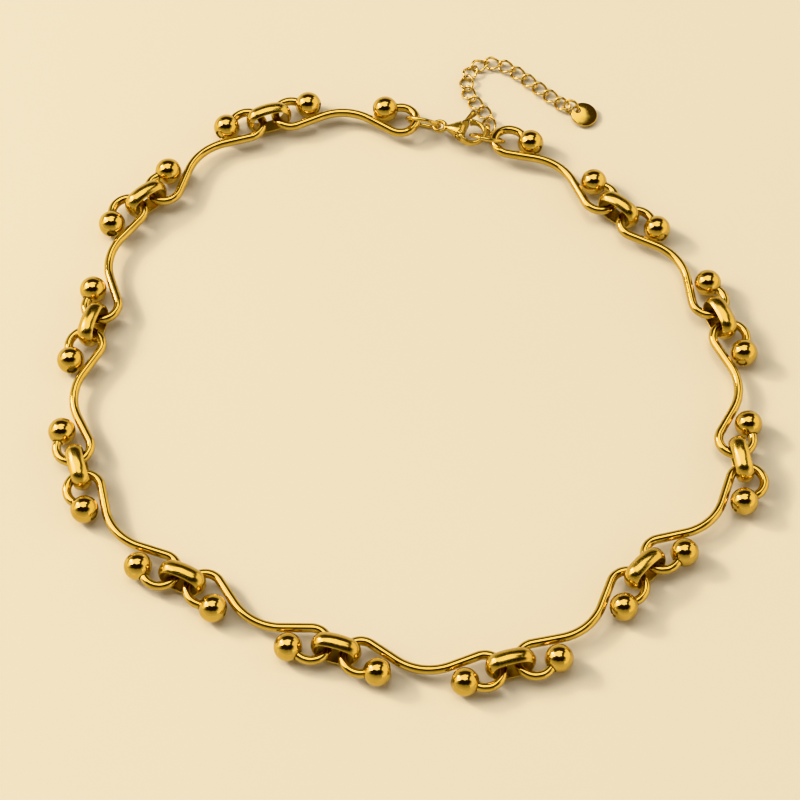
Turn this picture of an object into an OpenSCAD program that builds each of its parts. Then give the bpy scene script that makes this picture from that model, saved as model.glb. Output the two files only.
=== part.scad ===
// Chunky gold chain necklace: wave links with ball ends, joined by oval band links,
// closed with a lobster clasp and lengthened by a small curb chain with a round tag.
// The origin is the middle of the loop on the surface that it lies on. The clasp is at +Y.

/* [Wave links] */
// Distance between the two ball centres of one wave link
ball_spacing = 15.6; // [15.4:0.1:15.8]
// Diameter of the balls
ball_d = 5.2; // [5:0.1:5.3]
// Diameter of the round wire
wire_d = 1.7; // [1.5:0.1:1.7]
// Radius of the end loops, to the middle of the wire
loop_r = 3.2; // [3.15:0.05:3.25]
// Distance from a ball to the middle of its loop, along the link
loop_beyond = 3.3; // [3.3:0.05:3.4]
// Distance from the line of the balls to the middle of the loops, towards the wearer
loop_inward = 2.5; // [2.45:0.05:2.55]
// Radius of the arch between the balls, to the middle of the wire
arch_r = 10; // [9:0.5:11]
// Distance from the line of the balls to the top of the arch
arch_inward = 1.45; // [1.4:0.05:1.6]
// Diameter of the drilled hole that shows in each ball
ball_hole_d = 2; // [1.9:0.05:2.2]
// Depth of that hole down to the collar that the wire is soldered in
ball_hole_depth = 0.75; // [0.4:0.05:1]
// How far the wire's end stands back from the ball's surface
wire_end_back = 0.35; // [0.1:0.05:0.4]

/* [Connectors] */
// Length of a connector, along the chain
band_length = 9.3; // [9.2:0.05:9.4]
// Height of a connector as it stands
band_height = 6.2; // [6:0.1:6.4]
// Width of the band
band_width = 3.2; // [3.1:0.05:3.25]
// Thickness of the band at the middle of its dome
band_wall = 1; // [0.9:0.05:1.05]
// Thickness of the band along its edges
band_edge = 0.2; // [0.2:0.05:0.3]
// Radius of the inside of the band's ends
band_end_r = 1.9; // [1.8:0.05:1.95]

/* [Clasp] */
// Distance from the clasp's tail eye to the middle of its hook
hook_reach = 6.6; // [6.4:0.1:6.8]
// Outer radius of the hook
hook_outer_r = 3; // [2.9:0.05:3]
// Inner radius of the hook
hook_inner_r = 2.15; // [2.05:0.05:2.2]
// Thickness of the hook
hook_thick = 1.3; // [1.2:0.05:1.4]
// Thickness of the body at its fullest
body_thick = 3; // [2.8:0.1:3.2]
// Radius of the tail eye, to the middle of its wire
eye_r = 1.2; // [1.2:0.05:1.3]
// Thickness of the tail eye's wire
eye_wire_d = 0.8; // [0.7:0.05:0.8]
// Thickness of the lever plate
lever_thick = 1.1; // [1:0.05:1.1]
// Diameter of the lever's rivet
pin_d = 0.9; // [0.8:0.05:0.9]
// Radius of the two jump rings, to the middle of the wire
ring_r = 3.35; // [3.3:0.05:3.4]
// Wire of the two jump rings
ring_wire_d = 0.8; // [0.7:0.05:0.8]

/* [Extension] */
// Distance from one extension link to the next
curb_pitch = 2.95; // [2.9:0.05:3]
// Length of one extension link, to the middle of its wire
curb_length = 3.7; // [3.65:0.05:3.75]
// Width of one extension link, to the middle of its wire
curb_width = 2.6; // [2.5:0.05:2.7]
// Wire of the extension links
curb_wire_d = 0.5; // [0.45:0.05:0.5]
// Radius of the tag's jump ring, to the middle of the wire
tag_ring_r = 1.5; // [1.45:0.05:1.55]
// Diameter of the tag
tag_d = 5.4; // [5.2:0.1:5.6]
// Thickness of the tag
tag_thick = 0.9; // [0.8:0.05:0.9]
// Diameter of the tag's hole
tag_hole_d = 1.3; // [1.2:0.05:1.4]

/* [Hidden] */
$fn = 64;
gold = "goldenrod";

// Each wave link, going counterclockwise from the clasp: its heading, and how far its inner side tips down
HEADING = 0;
TIP = 1;
LINKS = [
    [176, -1], [224, -2], [260, -3], [268, -3], [312, 0], [331, 2],
    [353, 2], [40, 2], [42, 2], [89, 0], [126, -2], [142, -6]];

// Each connector: its heading, the distance between the two loops that it holds, and how far its top leans inward
REACH = 1;
LEAN = 2;
JOINS = [
    [198, 9.2, -14], [220, 8.9, -8], [254, 9.3, -14], [286, 9.2, -6], [335, 9, 12], [344, 9.2, 12],
    [14, 9.3, 10], [45, 9.2, 12], [99, 9.1, 8], [113, 9, -12], [139, 9.2, -10]];

// Middle of the first wave link
first_link = [-10.8, 65];
// Height that the clasp is carried at by its two rings
clasp_z = 2.6;
// How far each jump ring leans inward from upright
clasp_ring_lean = 27;
end_ring_lean = 40;
// How far a leaning ring hangs back from the first loop and from the inside of the hook
loop_slack = 0.58;
hook_slack = 1.6;
// How far the clasp lies back from its line, and the end ring before it
clasp_back = 0.5;
end_ring_side = -0.8;
// Space under the end ring, which lies on the extension's first link
end_ring_lift = 0.7;
// Smallest space left between a piece and the surface it lies on
floor_gap = 0.02;
// Where two stretches of one piece meet, the second is this much thinner and runs this far into the first
joint_step = 0.01;
joint_lap = 0.1;

// A point turned about the origin, a unit vector, and the length and heading of a vector
function turned(v, a) = [v.x * cos(a) - v.y * sin(a), v.x * sin(a) + v.y * cos(a)];
function along(a) = [cos(a), sin(a)];
function heading_of(v) = atan2(v.y, v.x);
function past(from, to, by) = to + by * (to - from) / norm(to - from);

// From a wave link's middle to the middle of a loop in plan: side is -1 at its start and 1 at its end
loop_x = ball_spacing / 2 + loop_beyond;
function loop_offset(i, side) =
    turned([side * loop_x, loop_inward * cos(LINKS[i][TIP])], LINKS[i][HEADING]);
function link_at(i) = i == 0 ? first_link
    : link_at(i - 1) + loop_offset(i - 1, 1)
        + JOINS[i - 1][REACH] * along(JOINS[i - 1][HEADING]) - loop_offset(i, -1);
function join_at(i) =
    link_at(i) + loop_offset(i, 1) + JOINS[i][REACH] / 2 * along(JOINS[i][HEADING]);

// A stretch of round wire bent about the origin, from one angle on through a sweep
module bent_wire(r, d, from, sweep) {
    rotate([0, 0, from])
        rotate_extrude(angle = sweep)
            translate([r, 0])
                circle(d = d);
}

// A straight round rod in the plan, from one point to another
module rod(from, to, d) {
    translate([from.x, from.y, 0])
        rotate([0, 0, heading_of(to - from)])
            rotate([0, 90, 0])
                cylinder(d = d, h = norm(to - from));
}

// Wave link. The straight stretch touches the arch on its outer side and the loop on its inner side.
// Each ball is threaded on the wire's end, and drilled wider where that end shows.
arch_y = arch_inward + arch_r;
centres_apart = norm([loop_x, arch_y - loop_inward]);
slope = atan2(loop_x, arch_y - loop_inward) - acos((arch_r + loop_r) / centres_apart);
arch_end = [arch_r * sin(slope), arch_y - arch_r * cos(slope)];
loop_start = [loop_x - loop_r * sin(slope), loop_inward + loop_r * cos(slope)];
// The wire leaves the loop on a tangent through the ball's middle
ball_to_loop = norm([loop_beyond, loop_inward]);
entry = atan2(loop_inward, loop_beyond) - asin(loop_r / ball_to_loop);
loop_end = [loop_x + loop_r * cos(entry - 90), loop_inward + loop_r * sin(entry - 90)];

module wave_half() {
    ball = [ball_spacing / 2, 0];
    bore = heading_of(ball - loop_end);
    straight_d = wire_d - 2 * joint_step;
    rod(past(loop_start, arch_end, joint_lap), past(arch_end, loop_start, joint_lap), straight_d);
    translate([loop_x, loop_inward, 0])
        bent_wire(loop_r, wire_d, entry - 90, 180 + slope - entry);
    rod(ball + (ball_d / 2 - wire_end_back) * along(bore), past(ball, loop_end, joint_lap), straight_d);
    translate([ball.x, ball.y, 0])
        rotate([0, 0, bore])
            rotate([0, 90, 0])
                difference() {
                    sphere(d = ball_d);
                    translate([0, 0, ball_d / 2 - ball_hole_depth])
                        cylinder(d = ball_hole_d, h = ball_d);
                }
}

module wave_link(i) {
    color(gold)
        translate([link_at(i).x, link_at(i).y, ball_d / 2 + floor_gap])
            rotate([0, 0, LINKS[i][HEADING]])
                rotate([-LINKS[i][TIP], 0, 0]) {
                    translate([0, arch_y, 0])
                        bent_wire(arch_r, wire_d, 270 - slope, 2 * slope);
                    wave_half();
                    mirror([1, 0, 0])
                        wave_half();
                }
}

// Connector. Its oval is four arcs, two tight ends and two long flanks, and its section is a dome on a flat.
band_half_hole = band_length / 2 - band_wall;
band_half_gap = band_height / 2 - band_wall;
band_end_x = band_half_hole - band_end_r;
band_rise = band_half_gap - band_end_r;
band_flank_y = (pow(band_end_x, 2) - pow(band_rise, 2)) / (2 * band_rise);
band_flank_r = band_half_gap + band_flank_y;
band_corner = atan2(band_end_x, band_flank_y);
band_dome = band_wall - band_edge;
band_dome_r = (pow(band_width / 2, 2) + pow(band_dome, 2)) / (2 * band_dome);
edge_break = 0.08;

module band_section(r, inset) {
    half = band_width / 2 - inset;
    intersection() {
        translate([r, 0])
            polygon([
                [inset, edge_break - half], [edge_break, -half], [band_wall, -half],
                [band_wall, half], [edge_break, half], [inset, half - edge_break]]);
        translate([r + band_wall - band_dome_r, 0])
            circle(r = band_dome_r - inset, $fn = 200);
    }
}

module band_arc(centre, r, inset, half_sweep) {
    translate([centre.x, centre.y, 0])
        rotate([0, 0, -half_sweep])
            rotate_extrude(angle = 2 * half_sweep)
                band_section(r, inset);
}

module band_oval() {
    lap = joint_lap / band_end_r * 180 / PI;
    for (side = [0, 180]) {
        rotate([0, 0, 90 + side])
            band_arc([-band_flank_y, 0], band_flank_r, 0, band_corner);
        rotate([0, 0, side])
            band_arc([band_end_x, 0], band_end_r, joint_step, 90 - band_corner + lap);
    }
}

// A connector rolls on its dome as it leans, and stays centred on the two loops that it holds
ball_z = ball_d / 2 + floor_gap;
function loop_z(i) = ball_z - loop_inward * sin(LINKS[i][TIP]);
function band_z(i) = band_dome_r + floor_gap - (band_dome_r - band_height / 2) * cos(JOINS[i][LEAN]);
function band_shift(i) = (band_z(i) - (loop_z(i) + loop_z(i + 1)) / 2) * tan(JOINS[i][LEAN]);

module connector(i) {
    color(gold)
        translate([join_at(i).x, join_at(i).y, band_z(i)])
            rotate([0, 0, JOINS[i][HEADING]])
                translate([0, band_shift(i), 0])
                    rotate([90 - JOINS[i][LEAN], 0, 0])
                        band_oval();
}

// The clasp lies along the line from the first loop to the last
first_loop = link_at(0) + loop_offset(0, -1);
last_loop = link_at(11) + loop_offset(11, 1);
clasp_heading = heading_of(last_loop - first_loop);

// Height of a leaning ring's middle, and the places of the rings and the eye along the clasp's line
function ring_z(lean, lift) = ring_wire_d / 2 + floor_gap + lift + ring_r * cos(lean);
clasp_ring_x = loop_r - (wire_d + ring_wire_d) / 2 - loop_slack + ring_r;
eye_x = clasp_ring_x + ring_r;
end_ring_x = eye_x + hook_reach + hook_inner_r - ring_wire_d / 2 - hook_slack + ring_r;

// From the clasp's own line to the plan
function from_clasp(v) = first_loop + turned(v, clasp_heading);

module jump_ring(x, side, lean, lift) {
    at = from_clasp([x, side]);
    color(gold)
        translate([at.x, at.y, ring_z(lean, lift)])
            rotate([0, 0, clasp_heading])
                rotate([90 + lean, 0, 0])
                    rotate_extrude()
                        translate([ring_r, 0])
                            circle(d = ring_wire_d);
}

module clasp_place() {
    at = from_clasp([eye_x, clasp_back]);
    translate([at.x, at.y, clasp_z])
        rotate([0, 0, clasp_heading])
            children();
}

// Clasp outline, in the clasp's own frame: the eye at the origin, the hook along +X, the lever on the +Y side
neck_x = 1.5;
neck_r = 0.55;
gate_x = 5.25;
tip_angle = 112;
pivot = [4.55, -1.3];
pivot_boss_r = 0.95;
slot_play = 0.12;
lever_swing = 24;

module clasp_outline() {
    flare = asin((hook_outer_r - neck_r) / (hook_reach - neck_x));
    difference() {
        union() {
            translate([hook_reach, 0])
                circle(r = hook_outer_r);
            translate([neck_x, 0])
                circle(r = neck_r);
            polygon([
                [neck_x - neck_r * sin(flare), neck_r * cos(flare)],
                [neck_x - neck_r * sin(flare), -neck_r * cos(flare)],
                [hook_reach - hook_outer_r * sin(flare), -hook_outer_r * cos(flare)],
                [hook_reach - hook_outer_r * sin(flare), hook_outer_r * cos(flare)]]);
        }
        intersection() {
            translate([hook_reach, 0])
                circle(r = hook_inner_r);
            translate([gate_x, -hook_inner_r])
                square([2 * hook_inner_r, 2 * hook_inner_r]);
        }
        clasp_mouth();
    }
}

// The gap that the lever closes, between the hook's tip and the cheeks
module clasp_mouth() {
    tip = along(tip_angle);
    polygon([
        [hook_reach + hook_inner_r * 0.9 * tip.x, hook_inner_r * 0.9 * tip.y],
        [hook_reach + hook_outer_r * 1.2 * tip.x, hook_outer_r * 1.2 * tip.y],
        [3.9, 3.6], [4.3, 1.7], [gate_x, 0.9]]);
}

// Thickness of the clasp along its length, seen from the side
module clasp_side() {
    half_neck = neck_r;
    half_body = body_thick / 2;
    half_hook = hook_thick / 2;
    end = hook_reach + hook_outer_r + 1;
    polygon([
        [0, half_neck], [neck_x, half_neck], [3.1, 1.3], [4, half_body], [5, half_body],
        [5.9, 1.1], [6.9, half_hook], [end, half_hook],
        [end, -half_hook], [6.9, -half_hook], [5.9, -1.1],
        [5, -half_body], [4, -half_body], [3.1, -1.3], [neck_x, -half_neck], [0, -half_neck]]);
}

module clasp_slot() {
    reach = 6;
    linear_extrude(lever_thick + 2 * slot_play, center = true) {
        translate(pivot)
            circle(r = pivot_boss_r + slot_play);
        polygon([
            pivot + [-pivot_boss_r - slot_play, 0],
            pivot + reach * along(90 + lever_swing + 9),
            pivot + [0, reach],
            [gate_x + 0.1, 2],
            [gate_x + 0.1, 0],
            pivot + [pivot_boss_r + slot_play, 0]]);
    }
}

module clasp_body() {
    color(gold)
        clasp_place() {
            difference() {
                intersection() {
                    linear_extrude(body_thick, center = true)
                        clasp_outline();
                    rotate([90, 0, 0])
                        linear_extrude(4 * hook_outer_r, center = true)
                            clasp_side();
                }
                clasp_slot();
                translate([pivot.x, pivot.y, -body_thick])
                    cylinder(d = pin_d + 2 * pin_play, h = 2 * body_thick);
            }
            rotate_extrude()
                translate([eye_r, 0])
                    circle(d = eye_wire_d);
            rod([eye_r, 0], [neck_x + 0.3, 0], 2 * neck_r);
        }
}

// The lever: a plate from the rivet up the gate, closing against the hook's tip, and a thumb piece beyond
pin_play = 0.05;
thumb_tip = [5.85, 4.75];
thumb_r = 0.5;
thumb_knob_r = 0.68;

module lever_outline() {
    tip = along(tip_angle);
    back = turned([slot_play, 0], tip_angle + 90);
    gate_top = [hook_reach, 0] + (hook_outer_r - 0.12) * tip + back;
    gate_low = [hook_reach, 0] + (hook_inner_r + 0.05) * tip + back;
    translate(pivot)
        circle(r = pivot_boss_r);
    polygon([
        pivot + [-pivot_boss_r, 0], pivot + [-0.35, 3.6], gate_top, gate_low,
        [gate_x + 0.15, 0], pivot + [pivot_boss_r - 0.1, 0]]);
    polygon([[4.3, 1.9], [5.15, 2.7], thumb_tip + [thumb_r, -0.15], thumb_tip + [-thumb_r, 0.15]]);
    translate(thumb_tip)
        circle(r = thumb_r);
}

module clasp_lever() {
    color(gold)
        clasp_place() {
            difference() {
                linear_extrude(lever_thick, center = true)
                    lever_outline();
                translate([pivot.x, pivot.y, -body_thick])
                    cylinder(d = pin_d + 2 * pin_play, h = 2 * body_thick);
            }
            translate([thumb_tip.x, thumb_tip.y, 0])
                sphere(r = thumb_knob_r);
        }
}

module lever_pin() {
    color(gold)
        clasp_place()
            translate([pivot.x, pivot.y, 0])
                cylinder(d = pin_d, h = body_thick, center = true);
}

// Extension chain. The first two links climb over the end ring's wire. Each row gives a link's place
// from the ring's lowest point, its height, its roll, its pitch and its heading.
FIRST_CURBS = [
    [-0.36, 0.95, 1.53, 100, -15, 90],
    [-0.03, 3.3, 1.01, 0, 0, 95]];
// The other links lie flat, and each heads on from where the one before it ends
CURB_HEADINGS = [122, 128, 112, 87, 60, 25, -9, -32, -41, -43, -42, -41, -40];
curb_twist = 45;
curb_steps = 16;
curb_sides = 6;
ring_low = from_clasp([end_ring_x, end_ring_side + ring_r * sin(end_ring_lean)]);
curb_start = ring_low + [-0.03, 4.85];
curb_z = curb_wire_d / 2 + curb_width * 0.19 + floor_gap;

function curb_hinge(k) =
    k == 0 ? curb_start : curb_hinge(k - 1) + curb_pitch * along(CURB_HEADINGS[k - 1]);
function curb_at(k) = curb_hinge(k) + curb_pitch / 2 * along(CURB_HEADINGS[k]);

// Middle of the wire of a twisted oval link, at an angle round the link
function curb_turn(t) = -curb_twist * cos(t);
function curb_wire(t) = [
    curb_length / 2 * cos(t),
    curb_width / 2 * sin(t) * cos(curb_turn(t)),
    curb_width / 2 * sin(t) * sin(curb_turn(t))];
function curb_tangent(t) = curb_wire(t + 1) - curb_wire(t - 1);
function unit(v) = v / norm(v);

// A ring of points round the wire at that angle
function curb_ring(t) =
    let (
        up = [0, -sin(curb_turn(t)), cos(curb_turn(t))],
        side = unit(cross(curb_tangent(t), up)),
        top = unit(cross(side, curb_tangent(t))))
    [for (j = [0 : curb_sides - 1])
        let (a = 360 * j / curb_sides)
        curb_wire(t) + curb_wire_d / 2 * (cos(a) * side + sin(a) * top)];

module curb_link() {
    rings = [for (i = [0 : curb_steps - 1]) each curb_ring(360 * i / curb_steps)];
    faces = [for (i = [0 : curb_steps - 1], j = [0 : curb_sides - 1])
        let (
            next_i = (i + 1) % curb_steps,
            next_j = (j + 1) % curb_sides)
        [i * curb_sides + j, i * curb_sides + next_j, next_i * curb_sides + next_j, next_i * curb_sides + j]];
    polyhedron(points = rings, faces = faces, convexity = 4);
}

module extension_chain() {
    color(gold) {
        for (row = FIRST_CURBS)
            translate([ring_low.x + row[0], ring_low.y + row[1], row[2]])
                rotate([row[3], row[4], row[5]])
                    curb_link();
        for (k = [0 : len(CURB_HEADINGS) - 1])
            translate([curb_at(k).x, curb_at(k).y, curb_z])
                rotate([0, 0, CURB_HEADINGS[k]])
                    curb_link();
    }
}

// Tag: the hole side is held up by its ring, and the far edge rests. Places are from the last link's end.
last_curb = len(CURB_HEADINGS) - 1;
last_heading = CURB_HEADINGS[last_curb];
tag_ring_from_end = [0.45, 0.13];
tag_ring_turn = 15.5;
tag_ring_lean = 20;
tag_from_end = [3.42, 0.69];
tag_turn = 10;
tag_tilt = 11;
tag_hole_from_middle = 1.72;
tag_z = tag_d / 2 * sin(tag_tilt) + tag_thick / 2 * cos(tag_tilt) + floor_gap;

function from_last_curb(v) = curb_hinge(last_curb + 1) + turned(v, last_heading);

module tag_ring() {
    at = from_last_curb(tag_ring_from_end);
    color(gold)
        translate([at.x, at.y, curb_wire_d / 2 + tag_ring_r * cos(tag_ring_lean) + floor_gap])
            rotate([0, 0, last_heading + tag_ring_turn])
                rotate([90 - tag_ring_lean, 0, 0])
                    rotate_extrude()
                        translate([tag_ring_r, 0])
                            circle(d = curb_wire_d);
}

module end_tag() {
    at = from_last_curb(tag_from_end);
    color(gold)
        translate([at.x, at.y, tag_z])
            rotate([0, tag_tilt, last_heading + tag_turn])
                difference() {
                    cylinder(d = tag_d, h = tag_thick, center = true);
                    translate([-tag_hole_from_middle, 0, 0])
                        cylinder(d = tag_hole_d, h = 2 * tag_thick, center = true);
                }
}

wave_link(0);  // wave_link_01
wave_link(1);  // wave_link_02
wave_link(2);  // wave_link_03
wave_link(3);  // wave_link_04
wave_link(4);  // wave_link_05
wave_link(5);  // wave_link_06
wave_link(6);  // wave_link_07
wave_link(7);  // wave_link_08
wave_link(8);  // wave_link_09
wave_link(9);  // wave_link_10
wave_link(10);  // wave_link_11
wave_link(11);  // wave_link_12
connector(0);  // connector_01
connector(1);  // connector_02
connector(2);  // connector_03
connector(3);  // connector_04
connector(4);  // connector_05
connector(5);  // connector_06
connector(6);  // connector_07
connector(7);  // connector_08
connector(8);  // connector_09
connector(9);  // connector_10
connector(10);  // connector_11
jump_ring(clasp_ring_x, 0, clasp_ring_lean, 0);  // clasp_ring
clasp_body();
clasp_lever();
lever_pin();
jump_ring(end_ring_x, end_ring_side, end_ring_lean, end_ring_lift);  // end_ring
extension_chain();
tag_ring();
end_tag();
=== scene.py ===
# A chunky gold chain necklace, laid out in a loop on a pale table top.
# Lengths are in millimetres until a piece's mesh is made, and angles are in degrees.
import math
import bmesh
import bpy
import numpy as np
from mathutils import Matrix, Vector


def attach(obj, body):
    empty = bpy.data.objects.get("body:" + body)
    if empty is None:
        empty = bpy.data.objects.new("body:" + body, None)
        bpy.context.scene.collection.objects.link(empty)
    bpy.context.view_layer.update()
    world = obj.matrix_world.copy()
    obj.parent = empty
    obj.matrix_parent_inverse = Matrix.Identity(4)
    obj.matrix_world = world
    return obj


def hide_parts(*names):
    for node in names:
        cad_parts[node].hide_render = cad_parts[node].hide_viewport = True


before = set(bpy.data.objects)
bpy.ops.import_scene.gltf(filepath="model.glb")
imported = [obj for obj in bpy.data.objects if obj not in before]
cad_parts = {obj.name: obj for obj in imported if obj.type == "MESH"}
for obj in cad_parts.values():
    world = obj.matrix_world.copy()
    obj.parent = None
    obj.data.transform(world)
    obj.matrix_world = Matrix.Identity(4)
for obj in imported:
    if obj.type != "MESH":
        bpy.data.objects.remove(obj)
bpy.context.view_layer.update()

# ---------------------------------------------------------------- Wave links
# Each wave link is one round gold-plated steel wire, bent to a shallow arch with a loop at either end.
# Both ends of the wire are pushed through a drilled ball and soldered inside it, and the whole is
# barrel polished, which leaves it mirror bright with faint scuffs.

BALL_SPACING = 15.6
BALL_R = 2.6
WIRE_R = 0.85
LOOP_R = 3.2
LOOP_BEYOND = 3.3
LOOP_INWARD = 2.5
ARCH_R = 10
ARCH_INWARD = 1.45
WIRE_SIDES = 32
WIRE_END_BACK = 0.35
WIRE_END_ROUND = 0.42
# steps of the rounding at a wire's cut end, from its flat face to its side
WIRE_END_STEPS = [0, 22, 45, 68, 90]
# links, counted from 0, whose wire ends are painted dark too, like the mouth round them, as shade
SHADE_ENDED_LINKS = (2, 3)
# straight wire left as a row of its own before the bend into a loop
RUN_IN = 0.5
LOOP_STEPS = 72
ARCH_STEPS = 33
# radius of a drilled mouth, its depth, and the rounding that polishing gives its lip
FAR_MOUTH = (1.0, 0.75, 0.11)
NEAR_MOUTH = (0.94, 0.16, 0.05)
MOUTH_CORNER = 0.04
LIP_STEPS = 8
# faces across a mouth's floor and wall in the ball's section, which are painted dark as shade in the recess
MOUTH_FACES = 4
BORE_R = 0.8
BALL_STEPS = 60
BALL_SIDES = 64
FLOOR_GAP = 0.02
BALL_Z = BALL_R + FLOOR_GAP

# heading of each link along the chain, and how far its inner side tips down
LINKS = [
    (176, -1), (224, -2), (260, -3), (268, -3), (312, 0), (331, 2),
    (353, 2), (40, 2), (42, 2), (89, 0), (126, -2), (142, -6)]
# heading of each connector, the distance between the loops that it holds, and how far it leans inward
JOINS = [
    (198, 9.2, -14), (220, 8.9, -8), (254, 9.3, -14), (286, 9.2, -6), (335, 9, 12), (344, 9.2, 12),
    (14, 9.3, 10), (45, 9.2, 12), (99, 9.1, 8), (113, 9, -12), (139, 9.2, -10)]
FIRST_LINK = np.array([-10.8, 65.0])


def along(angle):
    """Unit vector at an angle in the plan."""
    return np.array([math.cos(math.radians(angle)), math.sin(math.radians(angle))])


def turned(v, angle):
    """A plan vector turned about the origin."""
    c, s = along(angle)
    return np.array([v[0] * c - v[1] * s, v[0] * s + v[1] * c])


def heading_of(v):
    return math.degrees(math.atan2(v[1], v[0]))


def set_down(at, *turns):
    """The place of a piece: its point, then turns about named axes, the outermost first."""
    place = Matrix.Translation(Vector(at))
    for axis, angle in turns:
        place = place @ Matrix.Rotation(math.radians(angle), 4, axis)
    return np.array(place)


def circle_outline(r, count):
    """A round wire's section, as rows of sideways and upward offsets."""
    angles = np.linspace(0, 2 * math.pi, count, endpoint=False)
    return r * np.stack([np.cos(angles), np.sin(angles)], 1)


def drawn_along(centres, sides, ups, outline, closed):
    """Points and faces of a section carried along a line of centres. Open ends are closed flat."""
    outline = np.broadcast_to(outline, (len(centres),) + np.shape(outline)[-2:])
    points = centres[:, None] + outline[..., :1] * sides[:, None] + outline[..., 1:] * ups[:, None]
    rows, around = points.shape[:2]
    i, j = np.meshgrid(np.arange(rows if closed else rows - 1), np.arange(around), indexing="ij")
    next_i, next_j = (i + 1) % rows, (j + 1) % around
    faces = np.stack(
        [i * around + j, i * around + next_j, next_i * around + next_j, next_i * around + j], -1)
    faces = [tuple(f) for f in faces.reshape(-1, 4).tolist()]
    if not closed:
        last = (rows - 1) * around
        faces += [tuple(range(around)), tuple(range(last, last + around))]
    return points.reshape(-1, 3), faces


def bent_wire(centres, sides, ups, r, count, end_round):
    """An open length of round wire whose cut ends are rounded over."""
    steps = np.radians(WIRE_END_STEPS)
    shrink = 1 - end_round / r * (1 - np.sin(steps))
    shift = end_round * (np.cos(steps) - 1)

    def ended(end, outward):
        """Middles of the rows at one end, from its flat face back to the full wire."""
        return end + shift[:, None] * outward / np.linalg.norm(outward)

    def held(rows):
        """A direction for each row, with those of the ends repeated along their rounding."""
        first, last = rows[:1].repeat(len(steps), 0), rows[-1:].repeat(len(steps), 0)
        return np.concatenate([first, rows[1:-1], last])

    head = ended(centres[0], centres[0] - centres[1])
    tail = ended(centres[-1], centres[-1] - centres[-2])
    middles = np.concatenate([head, centres[1:-1], tail[::-1]])
    scale = np.concatenate([shrink, np.ones(len(centres) - 2), shrink[::-1]])
    return drawn_along(
        middles, held(sides), held(ups), circle_outline(r, count) * scale[:, None, None], False)


def spun(profile, count):
    """Points and faces of a closed profile, rows of radius and height, spun about the local Z axis."""
    angles = np.linspace(0, 2 * math.pi, count, endpoint=False)
    sides = np.stack([np.cos(angles), np.sin(angles), np.zeros(count)], 1)
    ups = np.tile([0.0, 0.0, 1.0], (count, 1))
    return drawn_along(np.zeros((count, 3)), sides, ups, np.array(profile), True)


def moved(shell, place):
    points, faces = shell
    return points @ place[:3, :3].T + place[:3, 3], faces


def arc_points(centre, r, start, end, count):
    """Points on an arc in the plan, and the heading at each for a walk from start to end."""
    angles = np.linspace(start, end, count)
    points = np.array([np.array(centre) + r * along(a) for a in angles])
    return points, angles + (90 if end > start else -90)


arch_y = ARCH_INWARD + ARCH_R
loop_x = BALL_SPACING / 2 + LOOP_BEYOND
loop_middle = np.array([loop_x, LOOP_INWARD])
ball_middle = np.array([BALL_SPACING / 2, 0])
slope = math.degrees(
    math.atan2(loop_x, arch_y - LOOP_INWARD)
    - math.acos((ARCH_R + LOOP_R) / math.hypot(loop_x, arch_y - LOOP_INWARD)))
entry = math.degrees(
    math.atan2(LOOP_INWARD, LOOP_BEYOND) - math.asin(LOOP_R / math.hypot(LOOP_BEYOND, LOOP_INWARD)))
loop_end = loop_middle + LOOP_R * along(entry - 90)
ball_to_loop_end = np.linalg.norm(loop_end - ball_middle)
stub = (loop_end - ball_middle) / ball_to_loop_end


def wave_route():
    """The middle of a wave link's wire in its own plan, from its end in one ball to that in the other."""
    straight = [loop_end - (BALL_R - WIRE_END_BACK + ball_to_loop_end) * stub, loop_end - RUN_IN * stub]
    loop, loop_headings = arc_points(loop_middle, LOOP_R, entry - 90, 90 + slope, LOOP_STEPS)
    half = np.concatenate([straight, loop])
    headings = np.concatenate([[heading_of(stub)] * 2, loop_headings])
    arch, arch_headings = arc_points((0, arch_y), ARCH_R, 270 + slope, 270 - slope, ARCH_STEPS)
    mirrored = half[::-1] * [-1, 1]
    points = np.concatenate([half, arch, mirrored])
    headings = np.concatenate([headings, arch_headings, -headings[::-1]])
    return points, headings


def drilled_lip(mouth, side):
    """Half the section of a drilled ball at one mouth: the floor, the wall and the rounded lip."""
    hole, depth, lip = mouth
    lip_r = hole + lip
    lip_z = math.sqrt((BALL_R - lip) ** 2 - lip_r ** 2)
    sky = math.degrees(math.atan2(lip_z, lip_r))
    floor_z = BALL_R - depth
    rows = [(BORE_R, floor_z), (hole - MOUTH_CORNER, floor_z), (hole, floor_z + MOUTH_CORNER)]
    for a in np.linspace(180, sky, LIP_STEPS):
        rows.append((lip_r + lip * along(a)[0], lip_z + lip * along(a)[1]))
    return [(r, side * z) for r, z in rows], sky


def drilled_ball():
    """Closed section of a ball: the near mouth hugs the wire, and the far one shows its end."""
    far, far_sky = drilled_lip(FAR_MOUTH, 1)
    near, near_sky = drilled_lip(NEAR_MOUTH, -1)
    skin = [tuple(BALL_R * along(a)) for a in np.linspace(far_sky, -near_sky, BALL_STEPS)[1:-1]]
    return far + skin + near[::-1]


def add_node(tree, kind, settings, values):
    """A shader node. Its inputs are set or linked, by name, or by number where names repeat."""
    made = tree.nodes.new("ShaderNode" + kind)
    for key, value in settings.items():
        setattr(made, key, value)
    for key, value in values.items():
        if isinstance(value, bpy.types.NodeSocket):
            tree.links.new(value, made.inputs[key])
        else:
            made.inputs[key].default_value = value
    return made


def start_group(name, inputs, outputs):
    """An empty node group with named sockets, given as name, kind and value, and its two end nodes."""
    tree = bpy.data.node_groups.new(name, "ShaderNodeTree")
    for label, kind, value in inputs:
        made = tree.interface.new_socket(label, in_out="INPUT", socket_type="NodeSocket" + kind)
        made.default_value = value
    for label, kind in outputs:
        tree.interface.new_socket(label, in_out="OUTPUT", socket_type="NodeSocket" + kind)
    return tree, tree.nodes.new("NodeGroupInput").outputs, tree.nodes.new("NodeGroupOutput").inputs


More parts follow.
